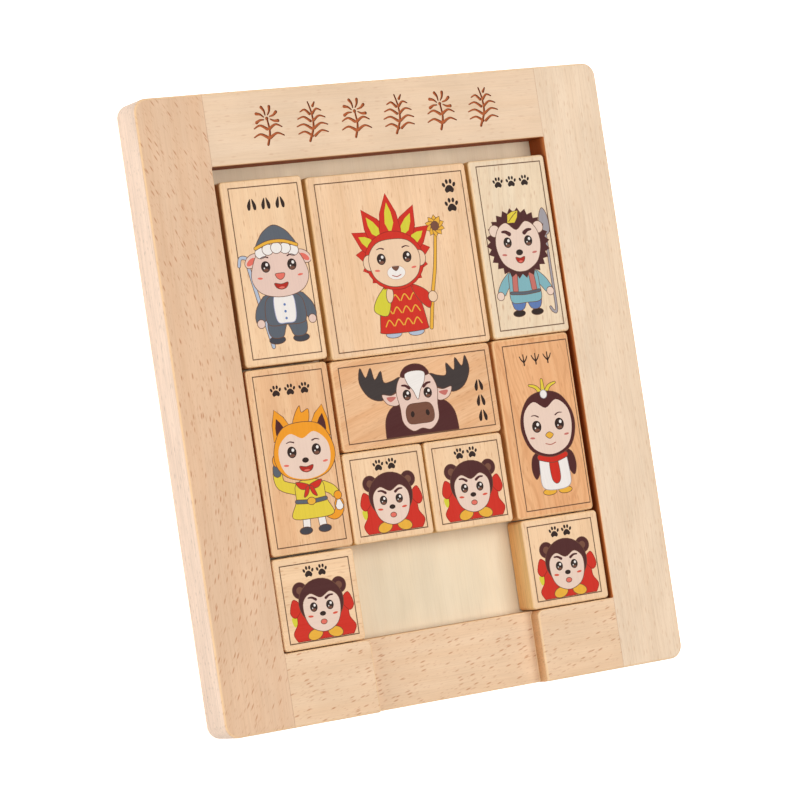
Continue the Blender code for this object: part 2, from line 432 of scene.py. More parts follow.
def hedgehog(art):
    """A hedgehog in a teal shirt, with a closed umbrella."""
    add_marks(art, paw_mark(), ((-4.9, 21.4), (0.2, 21.4), (5.3, 21.4)))
    art.origin = (-0.6, 0)
    art.lined(stroke([(8.8, -21.4), (9.8, -22.8), (11, -22), (11, -10), (11, 4)], 0.9), GREY)
    art.lined(blob([(11, 11.8), (12.6, 9), (12.8, 4), (11, 2.6), (9.2, 4), (9.4, 9)]), GREY)
    art.pair(stroke([(4.6, -10.2), (7.2, -12.4), (9, -15)], 3.8, 3), TEAL)
    art.pair(oval(9.6, -16, 1.4, 1.4), SKIN)
    art.pair(oval(3.5, -22.3, 2.3, 1.1), BLACK)
    art.pair(blob([(0.4, -17), (5.4, -16.8), (5.2, -20.4), (3, -21.4), (1, -20.4)]), BLUE)
    art.whole([(0, -7), (5, -8.6), (5.8, -13), (5.6, -18.4), (0, -18.9)], TEAL)
    art.pair(stroke([(3, -8.4), (3.4, -12), (3.6, -14.6)], 2), SALMON)
    art.lined(stroke([(-5.4, -15.4), (0, -15.8), (5.4, -15.4)], 1), SLATE)
    spines = []
    count = 52
    for i in range(count):
        angle = 2 * math.pi * i / count
        reach = 1 if i % 2 else 0.87
        spines.append((12.1 * reach * math.sin(angle), 0.9 + 11.8 * reach * math.cos(angle)))
    art.lined(spines, HAIR)
    art.pair(oval(8.4, 5.6, 2, 2), SKIN)
    face = [(0, 5.4), (3.8, 8), (7.4, 5.6), (8.6, 0.4), (6.8, -5.2), (3, -8), (0, -8.6)]
    art.whole(face, SKIN)
    art.lined(placed(petal(6, 1.9), -3, 7.8, -50), YELLOW)
    art.fill(stroke([(-2.4, 8.3), (-0.4, 10.2), (1, 11.2)], 0.25), LINE)
    art.eyes(4, 1.4, 0.95)
    art.brows(4.2, 4.6, 0.35, 1.5)
    art.fill(oval(0, -2.2, 1.35, 1), BLACK)
    art.laugh(-4.6, 1.7)
    art.cheeks(5.8, -2.6, SALMON)


def fox(art):
    """A fox in a yellow coat and red neckerchief, waving."""
    add_marks(art, paw_mark(), ((-4.9, 22), (0.2, 22), (5.3, 22)))
    art.origin = (2, 0)
    art.lined(stroke([(4, -17.6), (7.2, -19.4), (9.3, -18.2), (9.7, -15.8)], 2.2, 3.4), ORANGE)
    art.lined(stroke([(9.7, -16.6), (9.7, -15.2)], 2.9, 1.6), WHITE)
    art.lined(stroke([(-4.8, -9.6), (-9.8, -7.6), (-10.6, -3.8)], 3.6, 3.2), YELLOW)
    art.lined(stroke([(-10.6, -3.6), (-10.4, -2)], 3), SLATE)
    art.lined(oval(-10, 0.2, 1.7, 2.1, -8), ORANGE)
    art.lined(stroke([(4.8, -9.6), (7.6, -11), (9, -12.6)], 3.4, 3), YELLOW)
    art.lined(oval(9.6, -13.2, 1.4, 1.4), ORANGE)
    art.pair(stroke([(2.6, -18), (2.9, -21.8)], 2.6), WHITE)
    art.pair(oval(3.4, -23, 2.3, 1.2), DARK_SLATE)
    art.whole([(0, -6.8), (4.8, -8.2), (5.4, -13.4), (7.4, -18.6), (0, -19.4)], YELLOW)
    art.lined(stroke([(-5.2, -13.6), (0, -14), (5.2, -13.6)], 1.3), SLATE)
    art.lined(oval(0, -13.9, 1.5, 1.2), GOLD)
    art.pair(blob([(0.2, -8.6), (4.6, -7.4), (3.4, -9.6), (1, -10)]), RED)
    art.pair(blob([(0, -9.2), (1.2, -9.4), (2.4, -12.4), (0.8, -11.6)]), RED)
    tuft = [(-2.4, 10.6), (-1.6, 13.8), (0.6, 16.6), (1, 14.4), (3.6, 15.2), (2.6, 10.6)]
    art.lined(blob(tuft), ORANGE)
    art.pair([(3.2, 9.6), (5.6, 13.6), (8.6, 16.2), (10, 11.4), (10.2, 6)], ORANGE)
    art.dots([(5.6, 9.6), (7, 12), (8.3, 13.4), (9, 10.4), (9, 8)], HAIR)
    art.whole([(0, 11.4), (6.4, 10.2), (10, 5.4), (10.8, -0.6), (7.4, -5.4), (0, -7.2)], ORANGE)
    art.fill(balanced([(0, 6.2), (4.4, 8), (8.6, 4.4), (9, -1), (6.4, -5.2), (0, -6.8)]), SKIN)
    art.eyes(4.4, 2.2)
    art.brows(4.6, 5.2)
    art.fill(oval(0, -0.8, 1.2, 0.85), BLACK)
    art.laugh(-3.4, 2.4)
    art.cheeks(7, -1.8)


def penguin(art):
    """A crested penguin in a long red scarf."""
    add_marks(art, bird_mark(), ((-5, 22.2), (-0.4, 22.2), (4.2, 22.2)))
    art.origin = (0.6, 0)
    art.pair(oval(3, -22, 2.6, 1.1), GOLD)
    art.pair(blob([(4.4, -8.6), (7.6, -9.8), (8.6, -14), (7.4, -17.4), (5.4, -14.6)]), HAIR)
    art.whole([(0, -8), (4.6, -9.4), (5.6, -14.8), (5.2, -20.4), (0, -21.6)], WHITE, GREY)
    art.lined(blob([(-1.4, -11), (1.4, -11), (1.9, -17.6), (0.2, -19.6), (-1.5, -17.6)]), RED)
    art.lined(stroke([(-5, -10.4), (0, -11.6), (5, -10.4)], 1.9), RED)
    art.pair(stroke([(0.6, 9.8), (2.4, 12.6), (5, 13.6)], 1.7, 0.7), YELLOW)
    art.lined(stroke([(0, 10), (0, 12.4), (0, 15)], 1.8, 0.9), YELLOW)
    art.whole([(0, 11.2), (6, 9.6), (9.8, 4), (10.2, -2.2), (7.2, -8.2), (0, -10.6)], HAIR)
    art.fill(balanced([(0, 5.6), (4.4, 8), (8.4, 4.6), (9, -1.6), (6.4, -7.4), (0, -9.8)]), SKIN)
    art.lined(oval(0, 10.2, 1.3, 1.4), WHITE, GREY)
    art.eyes(4.4, -0.2, 1.08)
    art.brows(4.6, 3.2, 0.2)
    art.whole([(0, -2.4), (1.5, -3.4), (0, -4.6)], GOLD)
    art.smile(-6.6, 1.9)
    art.cheeks(6.6, -3.8, SALMON)


def moose(art):
    """A moose's head with broad dark antlers."""
    add_marks(art, hoof_mark(), ((23.2, 1.2), (23.2, -3.8), (23.2, -8.8)))
    art.origin = (0, -0.4)
    antler = [(5, 4.4), (9, 2.2), (13.6, 0.6), (18, 2.4), (20.6, 7.2), (19.6, 11.9), (18, 8.6),
              (15.8, 11.6), (14.8, 7.6), (12.2, 10.2), (11.6, 6.4), (8.4, 6.6), (5.6, 7.4)]
    art.pair(blob(antler, 4), ANTLER)
    shoulders = sweep([(6.6, -0.6), (10.6, -2.4), (13, -6), (13.6, -11.7)])
    art.lined(shoulders + flipped(shoulders), HAIR)
    art.pair(blob([(6.2, 2.8), (9.6, 1.9), (13, 2.4), (11.4, -0.8), (7.4, -1.4)]), PINK)
    art.dots(blob([(8, 1.2), (11.4, 1.4), (10.2, -0.2)]), SALMON)
    head = [(0, 8.6), (5.2, 7.6), (7.6, 3), (7, -2.4), (6.6, -7.4), (3.4, -10.4), (0, -9.8)]
    art.whole(head, PINK)
    art.whole([(0, 11.2), (3.6, 10.2), (5.2, 7.4), (0, 7)], HAIR)
    art.whole([(0, 9), (3.6, 8.2), (3.2, 5.2), (1.4, 2.6), (0, -0.4)], WHITE)
    art.eyes(3.9, 1.4, 0.95)
    art.brows(4, 4.1, 0.4, 1.1)
    art.whole([(0, -1.6), (3.8, -1.9), (5.2, -4.4), (4.4, -7.8), (0, -8.2)], MUZZLE)
    art.dots(oval(2.8, -5, 0.7, 1, 10), BLACK)


def bear(art):
    """A bear cub in a red cape."""
    add_marks(art, paw_mark(), ((-2.4, 9.5), (2.4, 9.5)))
    art.origin = (0.6, 0)
    art.fill(blob([(-11.2, -4.6), (-9.6, -3.6), (-8.6, -5.8), (-10.4, -7.2)]), LIME)
    cape = sweep([(6, -1.8), (9, -2.6), (9.4, -6.4), (11.2, -9.4), (10, -12)])
    art.lined(cape + flipped(cape), RED, DARK_RED)
    art.pair(blob([(7.2, -1.2), (9.8, 1.4), (11.4, -2.6), (9.6, -4.4)]), RED, DARK_RED)
    art.pair(oval(3.6, -10.4, 2.7, 1.7, -14), GOLD)
    art.pair(oval(7, 4, 2.6, 2.6), HAIR)
    art.dots(oval(7, 4, 1.2, 1.2), MUZZLE)
    art.lined(oval(0, -0.4, 8, 7.4), HAIR)
    art.whole([(0, 1), (3.6, 2.6), (6.4, 0.2), (6.4, -4.4), (4.4, -8.2), (0, -9.9)], SKIN)
    art.eyes(2.9, -1.8, 0.82)
    art.brows(3.1, 0.9, 0.3, 0.95)
    art.cheeks(4.4, -4.6, BLUSH)
    art.fill(oval(0, -4.2, 1.1, 0.75), BLACK)
    art.lined(oval(0, -6.8, 1.1, 0.8), CORAL)


def sprig():
    """A flowering twig in brush strokes, about 13 mm high."""
    strokes = [stroke([(-0.8, -6.4), (0.4, -2.6), (0.1, 1.6)], 0.9, 0.6)]
    for rise, reach in ((-4.2, 5.4), (-1.4, 5)):
        for side in (-1, 1):
            leaf = [(side * 0.4, rise), (side * reach * 0.55, rise + 1.3), (side * reach, rise + 0.4)]
            strokes.append(stroke(leaf, 1.1, 0.4))
    for turn in (-104, -62, -20, 22, 64, 106):
        strokes.append(placed(stroke([(0, 1.2), (0.3, 2.6), (0, 4)], 0.4, 1.1), 0, 2, turn))
    strokes.append(oval(0, 2, 0.6, 0.6, 0, 10))
    return strokes


def fern():
    """A bent frond in brush strokes, about 13 mm high."""
    strokes = [stroke([(-1.6, -6.4), (0.3, -2), (0.3, 2.4), (-0.6, 6.2)], 0.9, 0.5)]
    for rise, reach in ((-4.4, 5.4), (-2, 5.6), (0.4, 5), (2.7, 3.8)):
        for side in (-1, 1):
            curl = [(side * 0.5, rise - 0.4), (side * reach * 0.55, rise + 1.1), (side * reach, rise + 0.5)]
            strokes.append(stroke(curl, 1, 0.4))
    strokes.append(stroke([(1, 4.8), (1.8, 6)], 1, 0.5))
    return strokes


# ---- meshes


def quarter(steps=EDGE_STEPS):
    """Cosine and sine at even steps through a quarter turn."""
    angles = [math.pi / 2 * i / steps for i in range(steps + 1)]
    return [(math.cos(angle), math.sin(angle)) for angle in angles]


def ring_solid(rings):
    """A closed solid through rings of points, with a face over each end."""
    bm = bmesh.new()
    loops = [[bm.verts.new(point) for point in ring] for ring in rings]
    for low, high in zip(loops, loops[1:]):
        for i in range(len(low)):
            bm.faces.new((low[i - 1], low[i], high[i], high[i - 1]))
    bm.faces.new(loops[0])
    bm.faces.new(loops[-1])
    bmesh.ops.remove_doubles(bm, verts=bm.verts, dist=0.002)
    bmesh.ops.recalc_face_normals(bm, faces=bm.faces)
    return bm


def print_on_top(bm, picture, shift=(0.0, 0.0)):
    """Split the level top face along a picture's shapes and ink each part. Returns the inked faces."""
    ink_layer = bm.loops.layers.float_color.new("ink")
    level = [face for face in bm.faces if face.normal.z > 0.999]
    top = max(level, key=lambda face: face.calc_area())
    middle = top.calc_center_bounds() + Vector((*shift, 0))
    corners = list(top.verts)
    points = [(corner.co - middle).xy for corner in corners]
    outlines = [list(range(len(points)))]
    left = min(point.x for point in points) + PRINT_MARGIN
    right = max(point.x for point in points) - PRINT_MARGIN
    for shape, _ in picture.shapes:
        shape = shape if area(shape) > 0 else shape[::-1]
        outlines.append(list(range(len(points), len(points) + len(shape))))
        points += [Vector((min(max(x, left), right), y)) for x, y in shape]
    cut = geometry.delaunay_2d_cdt(points, [], outlines, 1, 0.001, True)
    places, _, triangles, sources, _, owners = cut
    bm.faces.remove(top)
    verts = []
    for place, source in zip(places, sources):
        rim = [i for i in source if i < len(corners)]
        spot = (place.x + middle.x, place.y + middle.y, middle.z)
        verts.append(corners[rim[0]] if rim else bm.verts.new(spot))
    inked = {}
    for triangle, owner in zip(triangles, owners):
        if 0 not in owner:
            continue
        part = bm.faces.new([verts[i] for i in triangle])
        paint = max(owner)
        ink = picture.shapes[paint - 1][1] if paint else BARE
        if ink is not BARE:
            inked[part] = ink
    for face in bm.faces:
        value = (*inked[face], 1.0) if face in inked else (0.0, 0.0, 0.0, 0.0)
        for loop in face.loops:
            loop[ink_layer] = value
    return list(inked)


def level_normals(mesh):
    """Normals that keep flat faces flat right up to the rounding beside them."""
    touching = [[] for _ in mesh.vertices]
    for face in mesh.polygons:
        for index in face.vertices:
            touching[index].append(face.normal.copy())
    limit = math.cos(SMOOTH_ANGLE)
    normals = []
    for face in mesh.polygons:
        for index in face.vertices:
            near = [normal for normal in touching[index] if normal.dot(face.normal) > limit]
            flat = [normal for normal in near if max(abs(part) for part in normal) > 0.9999]
            normals.append(sum(flat or near, Vector()).normalized())
    return normals


def as_object(name, bm, material):
    """The finished object of a bmesh in millimetres."""
    bmesh.ops.scale(bm, vec=(MM, MM, MM), verts=bm.verts)
    bm.normal_update()
    mesh = bpy.data.meshes.new(name)
    bm.to_mesh(mesh)
    bm.free()
    mesh.materials.append(material)
    mesh.shade_smooth()
    mesh.set_sharp_from_angle(angle=SMOOTH_ANGLE)
    mesh.normals_split_custom_set(level_normals(mesh))
    piece = bpy.data.objects.new(name, mesh)
    bpy.context.collection.objects.link(piece)
    return piece


def stand_for(piece, node, body):
    """Show a piece in place of the CAD node of the same part."""
    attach(piece, body)
    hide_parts(node)


# ---- wood


class Nodes:
    """Adds linked nodes to a material or to the world."""

    def __init__(self, owner):
        self.tree = owner.node_tree

    def add(self, kind, inputs, **settings):
        """A node with its settings; each input is a value or another node's output."""
        node = self.tree.nodes.new(kind)
        for name, value in settings.items():
            setattr(node, name, value)
        for key, value in inputs.items():
            if isinstance(value, bpy.types.NodeSocket):
                self.tree.links.new(value, node.inputs[key])
            else:
                node.inputs[key].default_value = value
        return node

    def math(self, operation, first, second=0.0, third=0.0, clamp=False):
        """The output of a Math node."""
        values = {0: first, 1: second, 2: third}
        return self.add("ShaderNodeMath", values, operation=operation, use_clamp=clamp).outputs[0]

    def times(self, first, second):
        """Two values multiplied."""
        return self.math("MULTIPLY", first, second)

    def stretch(self, value, low, high, new_low=0.0, new_high=1.0):
        """A value eased from one range into another."""
        values = {"Value": value, "From Min": low, "From Max": high, "To Min": new_low, "To Max": new_high}
        return self.add("ShaderNodeMapRange", values, interpolation_type="SMOOTHSTEP").outputs["Result"]

    def mix(self, factor, first, second):
        """Two colours mixed."""
        values = {0: factor, 6: first, 7: second}
        for key in (6, 7):
            if not isinstance(values[key], bpy.types.NodeSocket):
                values[key] = (*values[key], 1.0)
        return self.add("ShaderNodeMix", values, data_type="RGBA").outputs[2]

    def shaded(self, colour, shade):
        """A colour times a shade."""
        values = {0: colour, "Scale": shade}
        return self.add("ShaderNodeVectorMath", values, operation="SCALE").outputs[0]

    def vector(self, operation, first, second):
        """The output of a Vector Math node."""
        return self.add("ShaderNodeVectorMath", {0: first, 1: second}, operation=operation).outputs[0]

    def noise(self, vector, scales, detail=3.0, roughness=0.5, distortion=0.0):
        """Noise with its own scale along each axis."""
        values = {"Vector": self.vector("MULTIPLY", vector, scales), "Scale": 1.0, "Detail": detail}
        values.update({"Roughness": roughness, "Distortion": distortion})
        return self.add("ShaderNodeTexNoise", values).outputs[0]

    def flecks(self, vector, scales, spread):
        """Scattered spindle-shaped spots; a higher spread leaves fewer of them."""
        values = {"Vector": self.vector("MULTIPLY", vector, scales), "Scale": 1.0}
        spots = self.add("ShaderNodeTexVoronoi", values)
        spot = self.stretch(spots.outputs["Distance"], 0.34, 0.10)
        chance = self.add("ShaderNodeSeparateColor", {0: spots.outputs["Color"]}).outputs[0]
        return self.times(spot, self.stretch(chance, spread, spread + 0.35))

    def leaning(self, vector, tilt, bow):
        """A vector turned about Z, whose lines also bow to one side away from the middle of the board."""
        parts = self.add("ShaderNodeSeparateXYZ", {0: vector})
        square = self.times(parts.outputs["X"], parts.outputs["X"])
        across = self.math("MULTIPLY_ADD", square, bow, parts.outputs["Y"])
        bowed = self.add("ShaderNodeCombineXYZ", {0: parts.outputs["X"], 1: across, 2: parts.outputs["Z"]})
        turned = {"Vector": bowed.outputs[0], "Rotation": (0, 0, math.radians(tilt))}
        return self.add("ShaderNodeMapping", turned).outputs[0]

    def with_painted_light(self, colour, shade, outer, inner, low, painted_shade_from, painted_shade_to):
        """A colour that turns paler on rounded edges, a painted highlight, and to another colour on upright
        faces, painted light and shade.

        Faces that look away from the board's middle take the outer colour, if there is one, a paler colour
        painted in as the light those sides catch. The others take the inner colour, a warmer, deeper colour
        painted in as shade, which turns into the low colour between two heights, painted shade that darkens
        them towards the bottom.
        Both are times a shade.
        """
        place = self.add("ShaderNodeTexCoord", {}).outputs
        rise = self.add("ShaderNodeSeparateXYZ", {0: place["Normal"]}).outputs["Z"]
        rise = self.math("ABSOLUTE", rise)
        # Painted highlight on rounded edges, which are neither level nor upright.
        rounded = self.times(self.stretch(rise, 0.99, 0.9), self.stretch(rise, 0.3, 0.6))
        colour = self.mix(self.times(rounded, EDGE_HIGHLIGHT_COVER), colour, EDGE_HIGHLIGHT)
        # Painted shade: upright faces turn from the inner colour into the darker low colour towards the
        # bottom.
        height = self.add("ShaderNodeSeparateXYZ", {0: place["Object"]}).outputs["Z"]
        side = self.mix(self.stretch(height, painted_shade_from * MM, painted_shade_to * MM), inner, low)
        # Painted light: outward-facing upright faces take the paler outer colour.
        if outer:
            facing = {0: place["Normal"], 1: place["Object"]}
            facing = self.add("ShaderNodeVectorMath", facing, operation="DOT_PRODUCT").outputs["Value"]
            side = self.mix(self.math("LESS_THAN", facing, 0.0), outer, side)
        return self.mix(self.stretch(rise, 0.6, 0.2), colour, self.shaded(side, shade))


# What a wood looks like where its own look says nothing else.
TRAITS = {
    "bands": 0.45, "band_width": 5.0, "fibres": 0.22, "tilt": 0.0, "figure": 0.0, "figure_width": 2.4,
    "flecks": 0.35, "fleck_spread": 0.4, "fleck_tilt": 0.0, "fleck_bow": 0.0,
    "fleck_colour": srgb(180, 118, 74), "roughness": 0.5, "bump": 0.15, "printed": False,
    # The outer, inner and low colours below are painted light and shade on upright faces.
    "outer": None, "inner": None, "low": None, "painted_shade_from": 13.0, "painted_shade_to": 5.0,
}

# The wood's noise: scales along, across and above the grain, then detail, roughness and distortion.
BAND_ALONG = 0.012
BAND_ABOVE = 0.12
BAND_NOISE = (4.0, 0.5, 0.6)
FIBRE_NOISE = ((0.07, 2.6, 2.6), 3.0, 0.6)
HAIR_NOISE = ((0.25, 6.0, 6.0), 2.0, 0.6)
PATCH_NOISE = ((0.045, 0.10, 0.10), 2.0)
WANDER_NOISE = ((0.02, 0.06, 0.06), 2.0)
WANDER_REACH = 26.0
LARGE_FLECKS = (0.24, 1.0, 0.7)
SMALL_FLECKS = (0.42, 1.8, 1.2)
SMALL_FLECK_COVER = 0.45
SEED_STEPS = (37.0, 53.0, 29.0)

# How dark the fibres are beside the deep colour, how much patches vary, and the shades of fibres.
DARKER = 0.78
PATCH_TINTS = (0.965, 1.03)
SIDE_SHADES = (1.04, 0.84)
INK_SHADES = (1.0, 0.94)
BUMP_DEPTH = 0.08


def straightened(nodes, along, tilt):
    """Places on the board in millimetres, turned until the grain runs along X."""
    board = nodes.add("ShaderNodeTexCoord", {}).outputs["Object"]
    turn = math.radians(tilt + (90 if along == "Y" else 0))
    mapping = {"Vector": board, "Rotation": (0, 0, -turn), "Scale": (1 / MM, 1 / MM, 1 / MM)}
    return nodes.add("ShaderNodeMapping", mapping).outputs[0]


def figure_cover(nodes, grain, traits):
    """How strongly the wandering lines of the figure show."""
    wander = nodes.noise(grain, *WANDER_NOISE)
    across = nodes.add("ShaderNodeSeparateXYZ", {0: grain}).outputs["Y"]
    ring = nodes.math("MULTIPLY_ADD", wander, WANDER_REACH, across)
    wave = nodes.math("SINE", nodes.times(ring, 2 * math.pi / traits["figure_width"]))
    return nodes.times(nodes.stretch(wave, 0.1, 1.0), traits["figure"])


def fleck_cover(nodes, straight, step, traits):
    """How strongly the large and small flecks show."""
    leaning = nodes.leaning(straight, traits["fleck_tilt"], traits["fleck_bow"])
    leaning = nodes.vector("ADD", leaning, step)
    large = nodes.flecks(leaning, LARGE_FLECKS, traits["fleck_spread"])
    small = nodes.flecks(leaning, SMALL_FLECKS, traits["fleck_spread"])
    both = nodes.math("MULTIPLY_ADD", small, SMALL_FLECK_COVER, large)
    return nodes.math("MULTIPLY", both, traits["flecks"], clamp=True)


def side_shade(nodes, fibre, band, fleck):
    """The shade of upright faces, darker along fibres, bands and flecks."""
    shade = nodes.stretch(fibre, 0.35, 0.75, *SIDE_SHADES)
    for dark, strength in ((band, 0.2), (fleck, 0.3)):
        shade = nodes.math("SUBTRACT", shade, nodes.times(dark, strength))
    return shade


def inked(nodes, colour, fibre):
    """A colour with the printed inks over it, through which the fibres show a little."""
    ink = nodes.add("ShaderNodeAttribute", {}, attribute_name="ink").outputs
    shown = nodes.shaded(ink["Color"], nodes.stretch(fibre, 0.35, 0.75, *INK_SHADES))
    return nodes.mix(nodes.times(ink["Alpha"], INK_COVER), colour, shown)


def add_surface(nodes, shader, fibre, hair, fleck, traits):
    """The dull shine and fine relief of sanded wood."""
    roughness = traits["roughness"]
    rough = nodes.stretch(fibre, 0.3, 0.7, roughness - 0.05, roughness + 0.08)
    nodes.tree.links.new(rough, shader.inputs["Roughness"])
    height = nodes.math("MULTIPLY_ADD", fibre, 0.6, nodes.times(hair, 0.4))
    height = nodes.math("SUBTRACT", height, nodes.times(fleck, 0.3))
    relief = {"Height": height, "Strength": traits["bump"], "Distance": BUMP_DEPTH * MM}
    nodes.tree.links.new(nodes.add("ShaderNodeBump", relief).outputs[0], shader.inputs["Normal"])
    shader.inputs["IOR"].default_value = 1.45
    shader.inputs["Specular IOR Level"].default_value = 0.06


def wood(name, pale, deep, along="Y", seed=0.0, **look):
    """Sanded wood with soft bands, fine fibres and short dark flecks, and ink printed over it.

    The grain runs along one axis of the board. The look's numbers say how strong each trait is.
    """
    traits = {**TRAITS, **look}
    material = bpy.data.materials.new(name)
    material.use_nodes = True
    nodes = Nodes(material)
    shader = nodes.tree.nodes["Principled BSDF"]
    darker = tuple(DARKER * part for part in deep)
    step = tuple(seed * part for part in SEED_STEPS)

    straight = straightened(nodes, along, traits["tilt"])
    grain = nodes.vector("ADD", straight, step)
    broad = nodes.noise(grain, (BAND_ALONG, 1 / traits["band_width"], BAND_ABOVE), *BAND_NOISE)
    fibre = nodes.noise(grain, *FIBRE_NOISE)
    hair = nodes.noise(grain, *HAIR_NOISE)
    patch = nodes.noise(grain, *PATCH_NOISE)

    band = nodes.times(nodes.stretch(broad, 0.3, 0.7), traits["bands"])
    colour = nodes.mix(band, pale, deep)
    lines = nodes.times(nodes.stretch(fibre, 0.42, 0.72), traits["fibres"])
    colour = nodes.mix(lines, colour, darker)
    fine = nodes.times(nodes.stretch(hair, 0.35, 0.75), 0.5 * traits["fibres"])
    colour = nodes.mix(fine, colour, darker)
    if traits["figure"] > 0:
        colour = nodes.mix(figure_cover(nodes, grain, traits), colour, darker)
    tint = nodes.stretch(patch, 0.3, 0.7, *PATCH_TINTS)
    colour = nodes.add("ShaderNodeHueSaturation", {"Color": colour, "Value": tint}).outputs[0]
    fleck = fleck_cover(nodes, straight, step, traits)
    colour = nodes.mix(fleck, colour, traits["fleck_colour"])

    # Painted light and shade on upright faces, and a painted highlight on rounded edges.
    if traits["inner"]:
        side = [traits[key] for key in ("outer", "inner", "low", "painted_shade_from", "painted_shade_to")]
        colour = nodes.with_painted_light(colour, side_shade(nodes, fibre, band, fleck), *side)
    if traits["printed"]:
        colour = inked(nodes, colour, fibre)
    nodes.tree.links.new(colour, shader.inputs["Base Color"])
    add_surface(nodes, shader, fibre, hair, fleck, traits)
    return material


# ---- frame


def low_high(node):
    """The lowest and highest corner of a CAD node."""
    low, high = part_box(node)
    return low / MM, high / MM


FLOOR_LOW, FLOOR_HIGH = low_high("tray_floor")
RAIL_LOW, _ = low_high("top_rail")
STILE_LOW, STILE_HIGH = low_high("right_stile")
POCKET_X = STILE_LOW.x
POCKET_Y = RAIL_LOW.y
OUTER_X, OUTER_Y, TOP = STILE_HIGH
GROOVE_LOW = FLOOR_LOW.z - GROOVE_GAP
GROOVE_HIGH = FLOOR_HIGH.z + GROOVE_GAP


def stile_ring(side, outer_inset, outer_z, pocket_inset, pocket_z, in_groove=False):
    """One level ring of a stile: round the outer side, then along the joints and the pocket."""
    reach = OUTER_X - outer_inset
    end = OUTER_Y - outer_inset
    radius = CORNER_RADIUS - outer_inset
    ring = [(POCKET_X, -end, outer_z)]
    for centre_y, start in ((radius - end, -90), (end - radius, 0)):
        for i in range(CORNER_STEPS + 1):
            angle = math.radians(start + 90 * i / CORNER_STEPS)
            x = reach - radius + radius * math.cos(angle)
            ring.append((x, centre_y + radius * math.sin(angle), outer_z))
    ring.append((POCKET_X, end, outer_z))
    depth = POCKET_X + (GROOVE_DEPTH if in_groove else 0.0)
    face = depth + pocket_inset
    groove_end = POCKET_Y + GROOVE_DEPTH
    half = [(POCKET_X, groove_end), (depth, groove_end), (depth, POCKET_Y), (face, POCKET_Y - TAPER)]
    ring += [(x, y, pocket_z) for x, y in half]
    ring += [(x, -y, pocket_z) for x, y in reversed(half)]
    return [(side * x, y, z) for x, y, z in ring]


def make_stile(side):
    """A full-height side piece of the frame."""
    rings = []
    for cos, sin in quarter():
        height = FRAME_EDGE * (1 - cos)
        rings.append(stile_ring(side, FRAME_EDGE * (1 - sin), height, 0, height * GROOVE_LOW / FRAME_EDGE))
    rings.append(stile_ring(side, 0, FRAME_EDGE, 0, GROOVE_LOW, True))
    rings.append(stile_ring(side, 0, GROOVE_HIGH, 0, GROOVE_HIGH, True))
    rings.append(stile_ring(side, 0, GROOVE_HIGH, 0, GROOVE_HIGH))
    for cos, sin in quarter():
        outer = (FRAME_EDGE * (1 - cos), TOP - FRAME_EDGE * (1 - sin))
        pocket = (POCKET_EDGE * (1 - cos), TOP - POCKET_EDGE * (1 - sin))
        rings.append(stile_ring(side, *outer, *pocket))
    return ring_solid(rings)


def rail_ring(side, x, top=TOP, pocket_edge=POCKET_EDGE, mouth=0):
    """One cross-section of a rail at x. Near a mouth's wall it leans away from the recess."""
    width = OUTER_Y - POCKET_Y
    recessed = (TOP - top) / RECESS_DEPTH
    outer_edge = FRAME_EDGE + (RECESS_OUTER_EDGE - FRAME_EDGE) * recessed
    profile = [(0, 0), (0, GROOVE_LOW), (GROOVE_DEPTH, GROOVE_LOW)]
    profile += [(GROOVE_DEPTH, GROOVE_HIGH), (0, GROOVE_HIGH)]
    profile += [(pocket_edge * (1 - cos), top - pocket_edge * (1 - sin)) for cos, sin in quarter()]
    profile += [(depth, top) for depth in MOUTH_DEPTHS]
    profile += [(width - outer_edge * (1 - sin), top - outer_edge * (1 - cos)) for cos, sin in quarter()]
    profile += [(width - FRAME_EDGE * (1 - cos), FRAME_EDGE * (1 - sin)) for cos, sin in quarter()]
    ring = []
    for depth, z in profile:
        lean = 0.0
        if depth < MOUTH_RADIUS:
            lean = MOUTH_RADIUS - math.sqrt(MOUTH_RADIUS ** 2 - (MOUTH_RADIUS - depth) ** 2)
        ring.append((x + mouth * lean, side * (POCKET_Y + depth), z))
    return ring


def make_top_rail():
    """The upper cross piece, with a row of carved twigs along its middle."""
    reach = POCKET_X - JOINT_LINE
    rings = [rail_ring(1, -reach, pocket_edge=0), rail_ring(1, TAPER - reach)]
    rings += [rail_ring(1, reach - TAPER), rail_ring(1, reach, pocket_edge=0)]
    bm = ring_solid(rings)
    carving = Picture()
    for i in range(6):
        carving.origin = (16.0 * i - 40.0, -0.4)
        for shape in (sprig(), fern())[i % 2]:
            carving.fill(shape, BURNT)
    carved = print_on_top(bm, carving)
    sunk = bmesh.ops.extrude_face_region(bm, geom=carved)["geom"]
    bottom = [item for item in sunk if isinstance(item, bmesh.types.BMVert)]
    bmesh.ops.translate(bm, verts=bottom, vec=(0, 0, -CARVING_DEPTH))
    bmesh.ops.delete(bm, geom=[face for face in carved if face.is_valid], context="FACES")
    ink_layer = bm.loops.layers.float_color["ink"]
    # The carving's floor takes the burnt ink; its walls take the darker colour, which is burnt and also
    # painted shade.
    for face in {face for vert in bottom for face in vert.link_faces}:
        ink = BURNT if all(vert in set(bottom) for vert in face.verts) else BURNT_AND_SHADED_WALL
        for loop in face.loops:
            loop[ink_layer] = (*ink, 1.0)
    return bm


